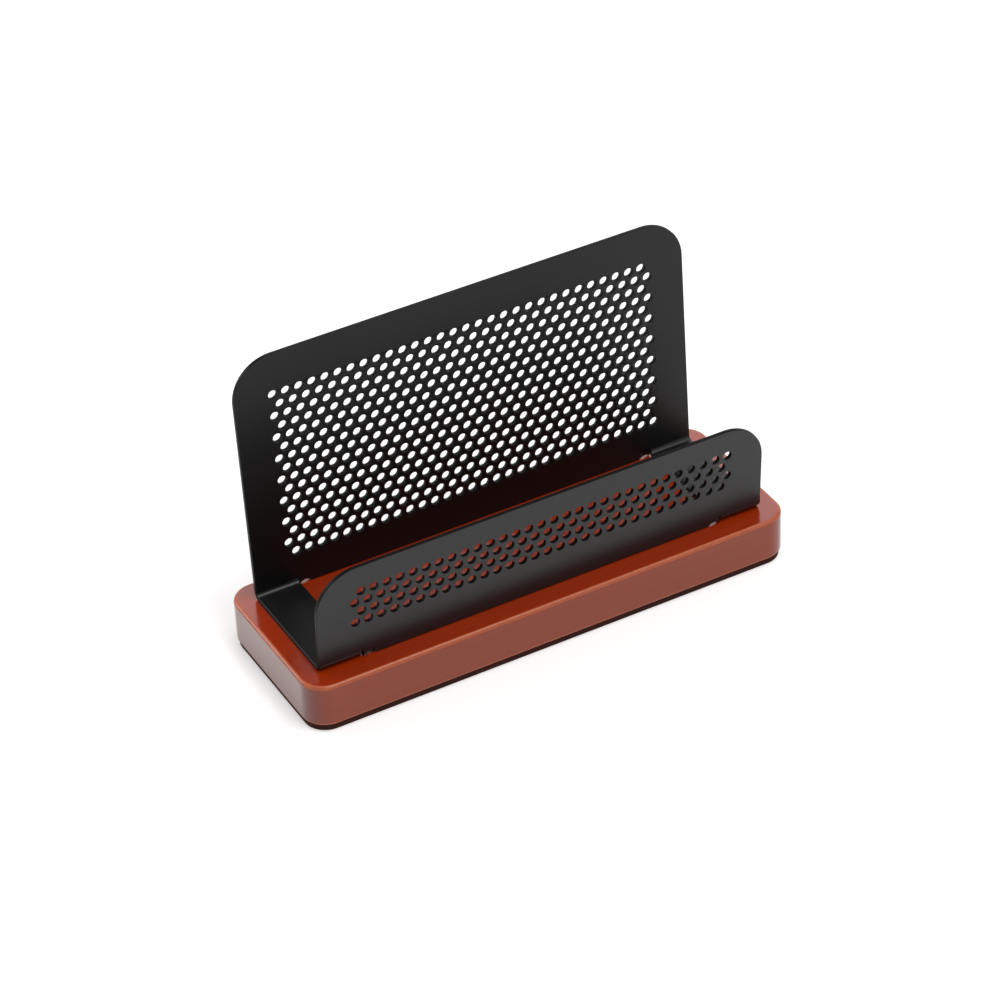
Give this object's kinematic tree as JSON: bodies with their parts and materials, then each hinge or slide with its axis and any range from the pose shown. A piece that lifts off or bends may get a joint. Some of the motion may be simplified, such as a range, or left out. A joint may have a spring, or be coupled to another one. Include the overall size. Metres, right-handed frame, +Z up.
{
  "type": "business card holder stand",
  "caption": "Desk stand for business cards: a punched and bent black steel tray with a tall back and a low front, on a lacquered reddish wood block with a soft pad under it.",
  "frame": {"origin": "on the surface that the stand rests on, under the middle of the pad", "axes": "+X along the block to the right as seen from the front, +Y to the tall back panel, +Z up"},
  "size_m": [0.115, 0.04, 0.0685],
  "materials": {
    "tray_coating": "satin black powder coat",
    "base_wood": "red-brown stain under glossy lacquer",
    "pad_foam": "matt dark brown foam rubber",
    "fixing_steel": "plain zinc-plated steel"
  },
  "bodies": {
    "root": {"punched_tray": "tray_coating", "wood_base": "base_wood", "base_pad": "pad_foam", "tray_stud_left": "fixing_steel", "tray_stud_right": "fixing_steel", "stud_washer_left": "fixing_steel", "stud_washer_right": "fixing_steel", "stud_nut_left": "fixing_steel", "stud_nut_right": "fixing_steel"}
  },
  "joints": []
}
